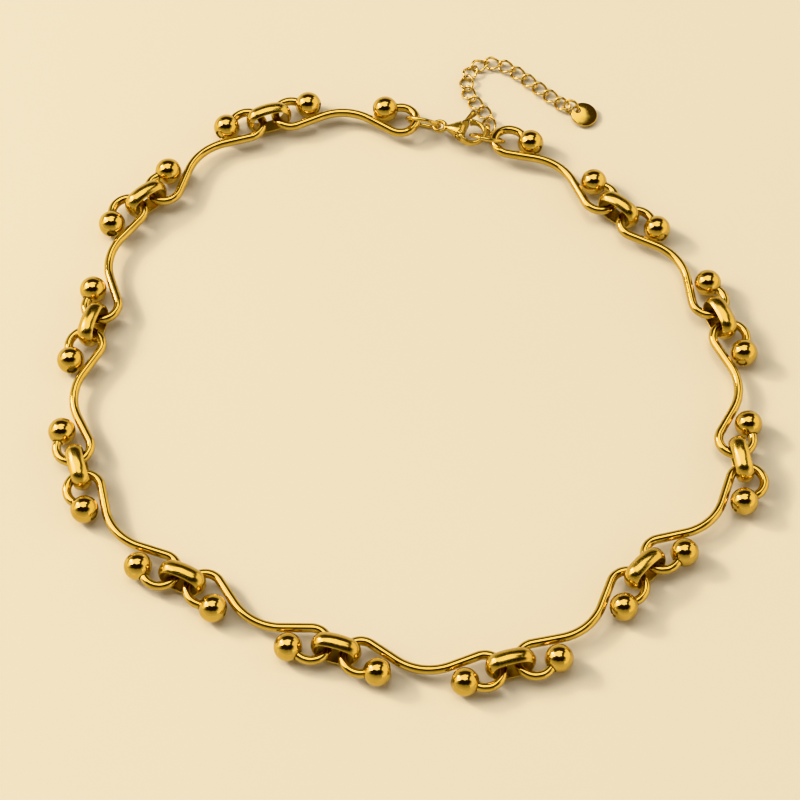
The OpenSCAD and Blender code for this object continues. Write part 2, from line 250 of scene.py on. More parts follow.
def plating_tone_and_shade_group():
    """Gold plating that is a little deeper in soft patches and paler on worn ridges, with painted shade in
    hollows.
    """
    tree, given, result = start_group(
        "plating_tone_and_shade",
        [("Tone", "Color", (1, 1, 1, 1)), ("Deep Tone", "Color", (1, 1, 1, 1)),
         ("Worn Tone", "Color", (1, 1, 1, 1)), ("Patches per Metre", "Float", 200),
         ("Patchiness", "Float", 0.5), ("Wear", "Float", 0.5)],
        [("Color", "Color"), ("Wear Mask", "Float")])
    where = add_node(tree, "TexCoord", {}, {}).outputs["Object"]
    cloud = add_node(tree, "TexNoise", {}, {
        "Vector": where, "Scale": given["Patches per Metre"], "Detail": 3, "Roughness": 0.55})
    spread = add_node(tree, "MapRange", {}, {
        "Value": cloud.outputs["Fac"], "From Min": 0.38, "From Max": 0.66,
        "To Min": 0, "To Max": given["Patchiness"]})
    patched = add_node(tree, "Mix", {"data_type": "RGBA"}, {
        0: spread.outputs["Result"], 6: given["Tone"], 7: given["Deep Tone"]})
    # painted shade: where the surface curves inward it is darkened towards the deep tone; crests get the
    # paler tone of wear
    ridge = add_node(tree, "NewGeometry", {}, {}).outputs["Pointiness"]
    shade_in_hollows = add_node(tree, "MapRange", {}, {
        "Value": ridge, "From Min": 0.49, "From Max": 0.42, "To Min": 0, "To Max": 0.8})
    painted_hollow_shade = add_node(tree, "Mix", {"data_type": "RGBA"}, {
        0: shade_in_hollows.outputs["Result"], 6: patched.outputs[2], 7: given["Deep Tone"]})
    crest = add_node(tree, "MapRange", {}, {
        "Value": ridge, "From Min": 0.53, "From Max": 0.6, "To Min": 0, "To Max": given["Wear"]})
    broken = add_node(tree, "TexNoise", {}, {
        "Vector": where, "Scale": 2600, "Detail": 2, "Roughness": 0.6})
    mask = add_node(tree, "Math", {"operation": "MULTIPLY"}, {
        0: crest.outputs["Result"], 1: broken.outputs["Fac"]})
    worn = add_node(tree, "Mix", {"data_type": "RGBA"}, {
        0: mask.outputs["Value"], 6: painted_hollow_shade.outputs[2], 7: given["Worn Tone"]})
    tree.links.new(worn.outputs[2], result["Color"])
    tree.links.new(mask.outputs["Value"], result["Wear Mask"])
    return tree


def polish_marks_group():
    """Barrel polish: a soft haze that comes and goes, fine hairline scuffs two ways, and a faint ripple."""
    tree, given, result = start_group(
        "polish_marks",
        [("Polish", "Float", 0.1), ("Haze", "Float", 0.08), ("Scuffs", "Float", 0.1),
         ("Ripple", "Float", 0.2), ("Wear Mask", "Float", 0)],
        [("Roughness", "Float"), ("Height", "Float")])
    where = add_node(tree, "TexCoord", {}, {}).outputs["Object"]
    haze = add_node(tree, "TexNoise", {}, {
        "Vector": where, "Scale": 420, "Detail": 4, "Roughness": 0.6})
    hazed = add_node(tree, "MapRange", {}, {
        "Value": haze.outputs["Fac"], "From Min": 0.4, "From Max": 0.7,
        "To Min": 0, "To Max": given["Haze"]})
    hairs = []
    for turn, stretch in ((0.5, (900, 14000, 9000)), (-0.9, (13000, 800, 10000))):
        laid = add_node(tree, "Mapping", {}, {
            "Vector": where, "Rotation": (0.3, 0.2, turn), "Scale": stretch})
        hair = add_node(tree, "TexNoise", {}, {
            "Vector": laid.outputs["Vector"], "Scale": 1, "Detail": 1, "Roughness": 0.5})
        hairs.append(add_node(tree, "MapRange", {}, {
            "Value": hair.outputs["Fac"], "From Min": 0.66, "From Max": 0.74,
            "To Min": 0, "To Max": 1}).outputs["Result"])
    scuffed = add_node(tree, "Math", {"operation": "MAXIMUM"}, {0: hairs[0], 1: hairs[1]})
    scuffs = add_node(tree, "Math", {"operation": "MULTIPLY"}, {
        0: scuffed.outputs["Value"], 1: given["Scuffs"]})
    rough = add_node(tree, "Math", {"operation": "ADD"}, {
        0: given["Polish"], 1: hazed.outputs["Result"]})
    rough = add_node(tree, "Math", {"operation": "ADD"}, {
        0: rough.outputs["Value"], 1: scuffs.outputs["Value"]})
    rough = add_node(tree, "Math", {"operation": "MULTIPLY_ADD"}, {
        0: given["Wear Mask"], 1: 0.12, 2: rough.outputs["Value"]})
    ripple = add_node(tree, "TexNoise", {}, {
        "Vector": where, "Scale": 650, "Detail": 2, "Roughness": 0.45})
    height = add_node(tree, "Math", {"operation": "MULTIPLY"}, {
        0: ripple.outputs["Fac"], 1: given["Ripple"]})
    height = add_node(tree, "Math", {"operation": "SUBTRACT"}, {
        0: height.outputs["Value"], 1: scuffs.outputs["Value"]})
    tree.links.new(rough.outputs["Value"], result["Roughness"])
    tree.links.new(height.outputs["Value"], result["Height"])
    return tree


plating_tone_and_shade = plating_tone_and_shade_group()
polish_marks = polish_marks_group()

GOLD = (0.68, 0.475, 0.14, 1)
DEEP_GOLD = (0.42, 0.26, 0.05, 1)
PALE_GOLD = (0.82, 0.67, 0.34, 1)


def gold_finish(name, polish, haze, scuffs, ripple, patches, patchiness, wear, bump, tone=GOLD):
    """Gold plating over steel, with its own share of patches, wear and polishing marks, and painted shade
    in hollows.
    """
    finish = bpy.data.materials.new(name)
    finish.use_nodes = True
    tree = finish.node_tree
    shader = tree.nodes["Principled BSDF"]
    plating = add_node(tree, "Group", {"node_tree": plating_tone_and_shade}, {
        "Tone": tone, "Deep Tone": DEEP_GOLD, "Worn Tone": PALE_GOLD,
        "Patches per Metre": patches, "Patchiness": patchiness, "Wear": wear})
    marks = add_node(tree, "Group", {"node_tree": polish_marks}, {
        "Polish": polish, "Haze": haze, "Scuffs": scuffs, "Ripple": ripple,
        "Wear Mask": plating.outputs["Wear Mask"]})
    relief = add_node(tree, "Bump", {}, {
        "Strength": bump, "Distance": 0.00004, "Height": marks.outputs["Height"]})
    shader.inputs["Metallic"].default_value = 1
    tree.links.new(plating.outputs["Color"], shader.inputs["Base Color"])
    tree.links.new(marks.outputs["Roughness"], shader.inputs["Roughness"])
    tree.links.new(relief.outputs["Normal"], shader.inputs["Normal"])
    return finish


# painted shade: the mouths are near black, standing in for the shade in the drilled recess
MOUTH_SHADE_BROWN = (0.024, 0.014, 0.005, 1)
wire_gold = gold_finish("wave_wire_gold", polish=0.05, haze=0.06, scuffs=0.10, ripple=0.4,
                        patches=260, patchiness=0.35, wear=0.5, bump=0.4)
ball_gold = gold_finish("ball_gold", polish=0.04, haze=0.04, scuffs=0.08, ripple=0.3,
                        patches=300, patchiness=0.25, wear=0.6, bump=0.4)
mouth_shade_finish = gold_finish("drilled_mouth_painted_shade", polish=0.3, haze=0.15, scuffs=0.1, ripple=0.6,
                         patches=900, patchiness=0.6, wear=0.2, bump=0.5, tone=MOUTH_SHADE_BROWN)


MILLIMETRE = 0.001


def lay_piece(name, shells, nodes, body="necklace"):
    """One piece from its closed shells, in place, each with its finish or a list of one to a face."""
    points, faces, face_finishes = [], [], []
    for (shell_points, shell_faces), finish in shells:
        start = sum(len(p) for p in points)
        points.append(np.asarray(shell_points) * MILLIMETRE)
        faces += [tuple(start + k for k in face) for face in shell_faces]
        face_finishes += finish if isinstance(finish, list) else [finish] * len(shell_faces)
    finishes = list(dict.fromkeys(face_finishes))
    mesh = bpy.data.meshes.new(name)
    mesh.from_pydata(np.concatenate(points).tolist(), [], faces)
    mesh.polygons.foreach_set("material_index", [finishes.index(finish) for finish in face_finishes])
    mesh.polygons.foreach_set("use_smooth", [True] * len(faces))
    mesh.update()
    for finish in finishes:
        mesh.materials.append(finish)
    face_outward(mesh)
    piece = bpy.data.objects.new(name, mesh)
    bpy.context.scene.collection.objects.link(piece)
    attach(piece, body)
    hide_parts(*nodes)


def face_outward(mesh):
    """Turns every face of each closed shell to face out."""
    made = bmesh.new()
    made.from_mesh(mesh)
    bmesh.ops.recalc_face_normals(made, faces=made.faces)
    made.to_mesh(mesh)
    made.free()


def loop_offset(i, side):
    heading, tip = LINKS[i]
    return turned([side * loop_x, LOOP_INWARD * math.cos(math.radians(tip))], heading)


link_places = [FIRST_LINK]
for i, (heading, reach, lean) in enumerate(JOINS):
    link_places.append(
        link_places[i] + loop_offset(i, 1) + reach * along(heading) - loop_offset(i + 1, -1))

route, route_headings = wave_route()
flat_route = np.column_stack([route, np.zeros(len(route))])
route_sides = np.array([[*along(h + 90), 0] for h in route_headings])
route_ups = np.tile([0.0, 0.0, 1.0], (len(route), 1))
wave_wire = bent_wire(flat_route, route_sides, route_ups, WIRE_R, WIRE_SIDES, WIRE_END_ROUND)
ball = spun(drilled_ball(), BALL_SIDES)
# the drilled mouths are left unpolished, and are painted dark, as shade in the recess round the wire's
# bright ends
end_faces = (len(WIRE_END_STEPS) - 1) * WIRE_SIDES
bright_faces = len(wave_wire[1]) - 2 * end_faces - 2
shade_ended_wire = [mouth_shade_finish] * end_faces + [wire_gold] * bright_faces + [mouth_shade_finish] * (end_faces + 2)
ball_rows = len(drilled_ball())
ball_finishes = [ball_gold if MOUTH_FACES <= k % ball_rows < ball_rows - MOUTH_FACES else mouth_shade_finish
                 for k in range(len(ball[1]))]
for i, (heading, tip) in enumerate(LINKS):
    place = set_down([*link_places[i], BALL_Z], ("Z", heading), ("X", -tip))
    shells = [(moved(wave_wire, place), shade_ended_wire if i in SHADE_ENDED_LINKS else wire_gold)]
    for side in (1, -1):
        far_side = heading_of(-stub * [side, 1])
        ball_place = place @ set_down([side * ball_middle[0], 0, 0], ("Z", far_side), ("Y", 90))
        shells.append((moved(ball, ball_place), ball_finishes))
    lay_piece(f"wave_{i + 1:02d}", shells, [f"wave_link_{i + 1:02d}"])

# ---------------------------------------------------------------- Connectors
# Each connector is a broad band with a domed outside and a flat inside, cast as a closed oval and
# polished on the dome. It stands on edge, round the loops of the two wave links that it joins.

BAND_LENGTH = 9.3
BAND_HEIGHT = 6.2
BAND_WIDTH = 3.2
BAND_WALL = 1.0
BAND_EDGE = 0.2
BAND_END_R = 1.9
BAND_EDGE_ROUND = 0.08
BAND_FLAT_FACES = 8
BAND_DOME_STEPS = 13
BAND_ARC_STEPS = 40

band_half_gap = BAND_HEIGHT / 2 - BAND_WALL
band_end_x = BAND_LENGTH / 2 - BAND_WALL - BAND_END_R
band_rise = band_half_gap - BAND_END_R
band_flank_y = (band_end_x ** 2 - band_rise ** 2) / (2 * band_rise)
band_flank_r = band_half_gap + band_flank_y
band_corner = math.degrees(math.atan2(band_end_x, band_flank_y))
band_dome = BAND_WALL - BAND_EDGE
band_dome_r = ((BAND_WIDTH / 2) ** 2 + band_dome ** 2) / (2 * band_dome)

# painted shade: the band's flat inside is given a dark tone, standing in for the shade within the band
INNER_SHADE_GOLD = (0.21, 0.13, 0.035, 1)
band_inner_painted_shade = gold_finish("band_inner_painted_shade", polish=0.26, haze=0.12, scuffs=0.12, ripple=0.5,
                              patches=240, patchiness=0.5, wear=0.4, bump=0.5, tone=INNER_SHADE_GOLD)
band_outer_gold = gold_finish("band_outer_gold", polish=0.15, haze=0.09, scuffs=0.12, ripple=0.4,
                              patches=220, patchiness=0.4, wear=0.6, bump=0.45)


def band_section():
    """The band's section, as rows of distance out from its inner face and across its width."""
    half, soft = BAND_WIDTH / 2, BAND_EDGE_ROUND
    flat = [(0, z) for z in np.linspace(-half + soft, half - soft, BAND_FLAT_FACES + 1)]
    upper = [(soft - soft * math.sin(a), half - soft + soft * math.cos(a))
             for a in np.radians([67.5, 45, 22.5, 0])]
    dome_edge = math.degrees(math.asin((half - soft) / (band_dome_r - soft)))
    dome_x = BAND_WALL - band_dome_r
    soft_x = dome_x + (band_dome_r - soft) * along(dome_edge)[0]
    upper += [(soft_x + soft * along(a)[0], half - soft + soft * along(a)[1])
              for a in np.linspace(90, dome_edge, 6)]
    upper += [(dome_x + band_dome_r * along(a)[0], band_dome_r * along(a)[1])
              for a in np.linspace(dome_edge, 0, BAND_DOME_STEPS)[1:-1]]
    return flat + upper + [(BAND_WALL, 0)] + [(out, -z) for out, z in upper[::-1]]


def band_oval():
    """The middle line of the band's inner face: two tight ends and two long flanks."""
    centres, outward = [], []
    for side in (0, 180):
        for middle, r, start, end in (
                ((band_end_x, 0), BAND_END_R, band_corner - 90, 90 - band_corner),
                ((0, -band_flank_y), band_flank_r, 90 - band_corner, 90 + band_corner)):
            for a in np.linspace(start, end, BAND_ARC_STEPS, endpoint=False):
                centres.append([*turned(np.array(middle) + r * along(a), side), 0])
                outward.append([*along(a + side), 0])
    return np.array(centres), np.array(outward)


def loop_height(i):
    return BALL_Z - LOOP_INWARD * math.sin(math.radians(LINKS[i][1]))


oval, oval_outward = band_oval()
across = np.tile([0.0, 0.0, 1.0], (len(oval), 1))
band = drawn_along(oval, oval_outward, across, np.array(band_section()), True)
band_rows = len(band_section())
band_finishes = [band_inner_painted_shade if k % band_rows < BAND_FLAT_FACES else band_outer_gold
                 for k in range(len(band[1]))]
for i, (heading, reach, lean) in enumerate(JOINS):
    middle = link_places[i] + loop_offset(i, 1) + reach / 2 * along(heading)
    height = band_dome_r + FLOOR_GAP - (band_dome_r - BAND_HEIGHT / 2) * math.cos(math.radians(lean))
    between = (loop_height(i) + loop_height(i + 1)) / 2
    shift = (height - between) * math.tan(math.radians(lean))
    place = set_down([*middle, height], ("Z", heading)) @ set_down([0, shift, 0], ("X", 90 - lean))
    lay_piece(f"band_{i + 1:02d}", [(moved(band, place), band_finishes)],
              [f"connector_{i + 1:02d}"])

# ---------------------------------------------------------------- Jump rings at the clasp
# A jump ring is a turn of thinner wire, cut and closed with pliers, so that its two ends meet at a
# fine slit. One hangs the clasp on the first wave link, and one on the last is what the clasp hooks.

RING_R = 3.35
RING_WIRE_R = 0.4
RING_SLIT = 0.07
# rounding of a ring's cut ends, as a share of its wire's radius
RING_END_ROUND = 0.2
RING_STEPS = 110
RING_SIDES = 20
CLASP_RING_LEAN = 27
CLASP_RING_SLIT_AT = 60
END_RING_LEAN = 40
END_RING_LIFT = 0.7
END_RING_SIDE = -0.8
END_RING_SLIT_AT = 105
LOOP_SLACK = 0.58
HOOK_SLACK = 1.6
# the clasp's hook, which the end ring hangs in: from the eye to its middle, and its inner radius
HOOK_REACH = 6.6
HOOK_INNER_R = 2.15

ring_gold = gold_finish("jump_ring_gold", polish=0.12, haze=0.08, scuffs=0.12, ripple=0.4,
                        patches=400, patchiness=0.35, wear=0.5, bump=0.5)


def closed_ring(r, wire_r, slit_at):
    """A jump ring in its own plan, open by a hair at one place round it."""
    half_slit = math.degrees(RING_SLIT / 2 / r)
    points, headings = arc_points(
        (0, 0), r, slit_at + half_slit, slit_at + 360 - half_slit, RING_STEPS)
    centres = np.column_stack([points, np.zeros(len(points))])
    sides = np.array([[*along(h + 90), 0] for h in headings])
    ups = np.tile([0.0, 0.0, 1.0], (len(points), 1))
    return bent_wire(centres, sides, ups, wire_r, RING_SIDES, wire_r * RING_END_ROUND)


def ring_height(lean, lift):
    return RING_WIRE_R + FLOOR_GAP + lift + RING_R * math.cos(math.radians(lean))


def from_clasp(v):
    """From the clasp's own line to the plan."""
    return first_loop + turned(v, clasp_heading)


first_loop = link_places[0] + loop_offset(0, -1)
last_loop = link_places[-1] + loop_offset(len(LINKS) - 1, 1)
clasp_heading = heading_of(last_loop - first_loop)
clasp_ring_x = LOOP_R - WIRE_R - RING_WIRE_R - LOOP_SLACK + RING_R
eye_x = clasp_ring_x + RING_R
end_ring_x = eye_x + HOOK_REACH + HOOK_INNER_R - RING_WIRE_R - HOOK_SLACK + RING_R

for name, node, x, side, lean, lift, slit_at in (
        ("clasp_jump_ring", "clasp_ring", clasp_ring_x, 0, CLASP_RING_LEAN, 0, CLASP_RING_SLIT_AT),
        ("end_jump_ring", "end_ring", end_ring_x, END_RING_SIDE, END_RING_LEAN, END_RING_LIFT,
         END_RING_SLIT_AT)):
    place = set_down([*from_clasp([x, side]), ring_height(lean, lift)],
                     ("Z", clasp_heading), ("X", 90 + lean))
    lay_piece(name, [(moved(closed_ring(RING_R, RING_WIRE_R, slit_at), place), ring_gold)],
              [node])

# ---------------------------------------------------------------- Lobster clasp
# The clasp is cast and tumbled smooth: a tail eye, two swollen cheeks, and a hook. Its lever is a
# thin casting between the cheeks, turning on a rivet, and it closes against the hook's tip.

HOOK_OUTER_R = 3
HOOK_THICK = 1.3
BODY_THICK = 3
EYE_R = 1.2
EYE_WIRE_R = 0.4
NECK_X = 1.5
NECK_R = 0.55
NECK_INTO_BODY = 0.3
EYE_FILLET = 0.2
NECK_FILLET = 0.25
GATE_X = 5.25
TIP_ANGLE = 112
# corners of the hook's mouth on the side of the cheeks
HOOK_MOUTH_BACK = [(3.9, 3.6), (4.3, 1.7)]
HOOK_EDGE_ROUND = 0.1
HOOK_MOUTH_ROUND = 0.12
GATE_CORNER_ROUND = 0.15
PIVOT = np.array([4.55, -1.3])
PIVOT_BOSS_R = 0.95
SLOT_PLAY = 0.12
SLOT_EDGE_ROUND = 0.1
LEVER_SWING = 24
# how far the slot reaches beyond the lever's swing
SLOT_BEYOND_SWING = 9
LEVER_THICK = 1.1
LEVER_BACK = [-0.35, 3.6]
LEVER_EDGE_ROUND = 0.2
PIN_R = 0.45
PIN_PLAY = 0.05
PIN_HEAD_ROUND = 0.16
PIN_SIDES = 40
# where the rivet's section starts, a hair off its axis
PIN_AXIS = 0.001
THUMB_FOOT = [(4.3, 1.9), (5.15, 2.7)]
THUMB_TIP = np.array([5.85, 4.75])
THUMB_R = 0.5
THUMB_KNOB_R = 0.68
KNOB_FILLET = 0.15
# places along the clasp's line, with the casting's half thickness and the softness of its edges at each
CAST_HALF_THICK = ([0, NECK_X, 3.1, 4, 5, 5.9, 6.9, 10], [
    NECK_R, NECK_R, 1.3, BODY_THICK / 2, BODY_THICK / 2, 1.1, HOOK_THICK / 2, HOOK_THICK / 2])
CAST_SOFTNESS = ([1.5, 3, 4, 5, 6, 7], [0.5, 1.1, 1.4, 1.3, 0.6, 0.42])
CLASP_BACK = 0.5
CLASP_Z = 2.6
# fineness of the castings' skins, and how many times they are eased
SKIN_STEP = 0.08
LEVER_SKIN_STEP = SKIN_STEP * 0.8
EASING_ROUNDS = 4

cast_gold = gold_finish("clasp_cast_gold", polish=0.2, haze=0.10, scuffs=0.12, ripple=0.4,
                        patches=420, patchiness=0.45, wear=0.6, bump=0.4)
# painted shade: the lever is given a darker tone than the rest of the clasp, standing in for shade
LEVER_SHADE_GOLD = (0.34, 0.21, 0.05, 1)
lever_shade_finish = gold_finish("clasp_lever_painted_shade", polish=0.12, haze=0.09, scuffs=0.12, ripple=0.6,
                         patches=460, patchiness=0.45, wear=0.6, bump=0.6, tone=LEVER_SHADE_GOLD)
rivet_gold = gold_finish("rivet_gold", polish=0.16, haze=0.10, scuffs=0.14, ripple=0.4,
                         patches=500, patchiness=0.4, wear=0.5, bump=0.5)


def circle_field(x, y, middle, r):
    """Distance outside a circle in the plan, less than zero within."""
    return np.hypot(x - middle[0], y - middle[1]) - r


def polygon_field(x, y, corners):
    """Distance outside a polygon in the plan, less than zero within."""
    corners = np.array(corners, float)
    nearest = np.full(np.broadcast(x, y).shape, np.inf)
    within = np.zeros(nearest.shape, bool)
    for a, b in zip(corners, np.roll(corners, -1, 0)):
        edge = b - a
        part = np.clip(((x - a[0]) * edge[0] + (y - a[1]) * edge[1]) / (edge @ edge), 0, 1)
        nearest = np.minimum(nearest, np.hypot(x - a[0] - part * edge[0], y - a[1] - part * edge[1]))
        crosses = (a[1] > y) != (b[1] > y)
        rise = edge[1] if edge[1] else 1
        within ^= crosses & (x < a[0] + (y - a[1]) * edge[0] / rise)
    return np.where(within, -nearest, nearest)


def taper_field(x, y, start, start_r, end, end_r):
    """Distance outside two circles on the X axis and the straight sides between them."""
    length = end - start
    lean = (start_r - end_r) / length
    rest = math.sqrt(1 - lean ** 2)
    u, v = x - start, np.abs(y)
    reach = -lean * v + rest * u
    middle = rest * v + lean * u - start_r
    return np.where(
        reach < 0, np.hypot(u, v) - start_r,
        np.where(reach > rest * length, np.hypot(u - length, v) - end_r, middle))


def both(a, b, softness):
    """What two fields share, with the edge between them rounded."""
    u, v = a + softness, b + softness
    return np.hypot(np.maximum(u, 0), np.maximum(v, 0)) + np.minimum(np.maximum(u, v), 0) - softness


def either(a, b, softness):
    """Two fields together, with a fillet where they meet."""
    return -both(-a, -b, softness)


def cast_skin(field, low, step):
    """Points and faces of the skin where a field on a grid is zero, one point to each cell it crosses."""
    cells = tuple(n - 1 for n in field.shape)
    total, crossings = np.zeros((3,) + cells), np.zeros(cells)
    edges = []
    for axis in range(3):
        u, v = [k for k in range(3) if k != axis]
        near = [slice(None)] * 3
        far = [slice(None)] * 3
        near[axis], far[axis] = slice(None, -1), slice(1, None)
        a, b = field[tuple(near)], field[tuple(far)]
        crossed = (a < 0) != (b < 0)
        part = np.where(crossed, a / np.where(crossed, a - b, 1), 0)
        for du in (0, 1):
            for dv in (0, 1):
                pick = [slice(None)] * 3
                pick[u], pick[v] = slice(du, du + cells[u]), slice(dv, dv + cells[v])
                hit = crossed[tuple(pick)]
                crossings += hit
                total[axis] += hit * part[tuple(pick)]
                total[u] += hit * du
                total[v] += hit * dv
        edges.append((axis, u, v, crossed))
    used = crossings > 0
    number = np.full(cells, -1)
    number[used] = np.arange(used.sum())
    index = np.argwhere(used)
    points = (index + (total[:, used] / crossings[used]).T) * step + low
    faces = []
    for axis, u, v, crossed in edges:
        pick = [slice(None)] * 3
        pick[u], pick[v] = slice(1, cells[u]), slice(1, cells[v])
        at = np.argwhere(crossed[tuple(pick)])
        at[:, u] += 1
        at[:, v] += 1
        ring = []
        for du, dv in ((-1, -1), (0, -1), (0, 0), (-1, 0)):
            cell = at.copy()
            cell[:, u] += du
            cell[:, v] += dv
            ring.append(number[tuple(cell.T)])
        faces.append(np.stack(ring, 1))
    faces = np.concatenate(faces)
    return eased(points, faces), [tuple(f) for f in faces.tolist()]


def eased(points, faces):
    """Points drawn a little towards their neighbours, as tumbling does."""
    pairs = np.concatenate([faces[:, [k, (k + 1) % 4]] for k in range(4)])
    for _ in range(EASING_ROUNDS):
        total, count = np.zeros_like(points), np.zeros(len(points))
        for a, b in ((0, 1), (1, 0)):
            np.add.at(total, pairs[:, a], points[pairs[:, b]])
            np.add.at(count, pairs[:, a], 1)
        points = points + 0.5 * (total / count[:, None] - points)
    return points


def casting_grid(low, high, step):
    """Grid of places for a casting's field: x and y in the plan, and z."""
    lines = [np.arange(a - 3 * step, b + 4 * step, step) for a, b in zip(low, high)]
    return np.array([line[0] for line in lines]), *np.meshgrid(*lines, indexing="ij", sparse=True)


def clasp_casting():
    """The clasp without its lever, in its own frame: the eye at the origin and the hook along +X."""
    low, x, y, z = casting_grid(
        (-EYE_R - EYE_WIRE_R, -HOOK_OUTER_R, -BODY_THICK / 2),
        (HOOK_REACH + HOOK_OUTER_R, HOOK_OUTER_R, BODY_THICK / 2), SKIN_STEP)
    tip = along(TIP_ANGLE)
    hook = np.array([HOOK_REACH, 0])
    outline = taper_field(x, y, NECK_X, NECK_R, HOOK_REACH, HOOK_OUTER_R)
    inside = both(circle_field(x, y, hook, HOOK_INNER_R), GATE_X - x, GATE_CORNER_ROUND)
    mouth = polygon_field(x, y, [
        hook + HOOK_INNER_R * 0.9 * tip, hook + HOOK_OUTER_R * 1.2 * tip,
        *HOOK_MOUTH_BACK, (GATE_X, 0.9)])
    outline = both(both(outline, -inside, HOOK_EDGE_ROUND), -mouth, HOOK_MOUTH_ROUND)
    half_thick = np.interp(x, *CAST_HALF_THICK)
    softness = np.interp(x, *CAST_SOFTNESS)
    body = both(outline, np.abs(z) - half_thick, softness)
    boss = PIVOT_BOSS_R + SLOT_PLAY
    slot_plan = np.minimum(circle_field(x, y, PIVOT, boss), polygon_field(x, y, [
        PIVOT + [-boss, 0], PIVOT + 6 * along(90 + LEVER_SWING + SLOT_BEYOND_SWING), PIVOT + [0, 6],
        (GATE_X + 0.1, 2), (GATE_X + 0.1, 0), PIVOT + [boss, 0]]))
    slot = np.maximum(slot_plan, np.abs(z) - LEVER_THICK / 2 - SLOT_PLAY)
    body = both(body, -slot, SLOT_EDGE_ROUND)
    body = np.maximum(body, -circle_field(x, y, PIVOT, PIN_R + PIN_PLAY))
    eye = np.hypot(np.hypot(x, y) - EYE_R, z) - EYE_WIRE_R
    neck_part = np.clip(x, EYE_R, NECK_X + NECK_INTO_BODY)
    neck = np.sqrt((x - neck_part) ** 2 + y ** 2 + z ** 2) - NECK_R
    tail = either(eye, neck, EYE_FILLET)
    return cast_skin(either(tail, body, NECK_FILLET), low, SKIN_STEP)


def lever_casting():
    """The lever in the clasp's frame: the boss on the rivet, the gate, and the thumb piece."""
    low, x, y, z = casting_grid(
        (PIVOT[0] - 1, PIVOT[1] - 1, -THUMB_KNOB_R), (7, THUMB_TIP[1] + THUMB_KNOB_R, THUMB_KNOB_R),
        LEVER_SKIN_STEP)
    tip = along(TIP_ANGLE)
    back = turned([SLOT_PLAY, 0], TIP_ANGLE + 90)
    hook = np.array([HOOK_REACH, 0])
    gate = polygon_field(x, y, [
        PIVOT + [-PIVOT_BOSS_R, 0], PIVOT + LEVER_BACK, hook + (HOOK_OUTER_R - 0.12) * tip + back,
        hook + (HOOK_INNER_R + 0.05) * tip + back, (GATE_X + 0.15, 0), PIVOT + [PIVOT_BOSS_R - 0.1, 0]])
    thumb = polygon_field(x, y, [
        *THUMB_FOOT, THUMB_TIP + [THUMB_R, -0.15], THUMB_TIP + [-THUMB_R, 0.15]])
    outline = np.minimum(np.minimum(gate, circle_field(x, y, PIVOT, PIVOT_BOSS_R)),
                         np.minimum(thumb, circle_field(x, y, THUMB_TIP, THUMB_R)))
    plate = both(outline, np.abs(z) - LEVER_THICK / 2, LEVER_EDGE_ROUND)
    knob = np.sqrt((x - THUMB_TIP[0]) ** 2 + (y - THUMB_TIP[1]) ** 2 + z ** 2) - THUMB_KNOB_R
    whole = either(plate, knob, KNOB_FILLET)
    whole = np.maximum(whole, -circle_field(x, y, PIVOT, PIN_R + PIN_PLAY))
    return cast_skin(whole, low, LEVER_SKIN_STEP)


def rivet():
    """The rivet in the clasp's frame, with softly peened ends."""
    half, soft = BODY_THICK / 2, PIN_HEAD_ROUND
    rows = [(PIN_AXIS, -half)]
    rows += [(PIN_R - soft + soft * along(a)[0], -half + soft + soft * along(a)[1])
             for a in np.linspace(-90, 0, 6)]
    rows += [(r, -h) for r, h in rows[::-1]]
    return moved(spun(rows, PIN_SIDES), set_down([*PIVOT, 0]))


clasp_place = set_down([*from_clasp([eye_x, CLASP_BACK]), CLASP_Z], ("Z", clasp_heading))
lay_piece("clasp_cast", [(moved(clasp_casting(), clasp_place), cast_gold)], ["clasp_body"])
lay_piece("clasp_trigger", [(moved(lever_casting(), clasp_place), lever_shade_finish)],
          ["clasp_lever"], "lever")
lay_piece("clasp_rivet", [(moved(rivet(), clasp_place), rivet_gold)], ["lever_pin"])

# ---------------------------------------------------------------- Extension chain
# A fine curb chain lets the necklace be worn longer. Each link is a soldered oval of thin wire,
# twisted so that the links lie flat in one another. The first two climb over the end ring.

CURB_PITCH = 2.95
CURB_LENGTH = 3.7
CURB_WIDTH = 2.6
CURB_WIRE_R = 0.25
CURB_TWIST = 45
CURB_STEPS = 72
CURB_WIRE_SIDES = 16
# the climbing links: place from the end ring's lowest point, height, roll, nod and heading
FIRST_CURBS = [(-0.36, 0.95, 1.53, 100, -15, 90), (-0.03, 3.3, 1.01, 0, 0, 95)]
CURB_HEADINGS = [122, 128, 112, 87, 60, 25, -9, -32, -41, -43, -42, -41, -40]
CURB_START = np.array([-0.03, 4.85])
# how far the middle of a twisted link's wire dips below the link's own, as a share of its width
CURB_DIP = 0.19
CURB_Z = CURB_WIRE_R + CURB_WIDTH * CURB_DIP + FLOOR_GAP

CURB_GOLD = (0.78, 0.58, 0.22, 1)
curb_gold = gold_finish("curb_gold", polish=0.04, haze=0.05, scuffs=0.12, ripple=0.7,
                        patches=500, patchiness=0.45, wear=0.7, bump=0.7, tone=CURB_GOLD)


def curb_link():
    """One twisted oval link in its own frame."""
    t = np.linspace(0, 2 * math.pi, CURB_STEPS, endpoint=False)
    turn = -math.radians(CURB_TWIST) * np.cos(t)
    centres = np.stack([CURB_LENGTH / 2 * np.cos(t), CURB_WIDTH / 2 * np.sin(t) * np.cos(turn),
                        CURB_WIDTH / 2 * np.sin(t) * np.sin(turn)], 1)
    heading = np.roll(centres, -1, 0) - np.roll(centres, 1, 0)
    up = np.stack([np.zeros(len(t)), -np.sin(turn), np.cos(turn)], 1)
    sides = np.cross(heading, up)
    sides /= np.linalg.norm(sides, axis=1, keepdims=True)
    ups = np.cross(sides, heading)
    ups /= np.linalg.norm(ups, axis=1, keepdims=True)
    return drawn_along(centres, sides, ups, circle_outline(CURB_WIRE_R, CURB_WIRE_SIDES), True)


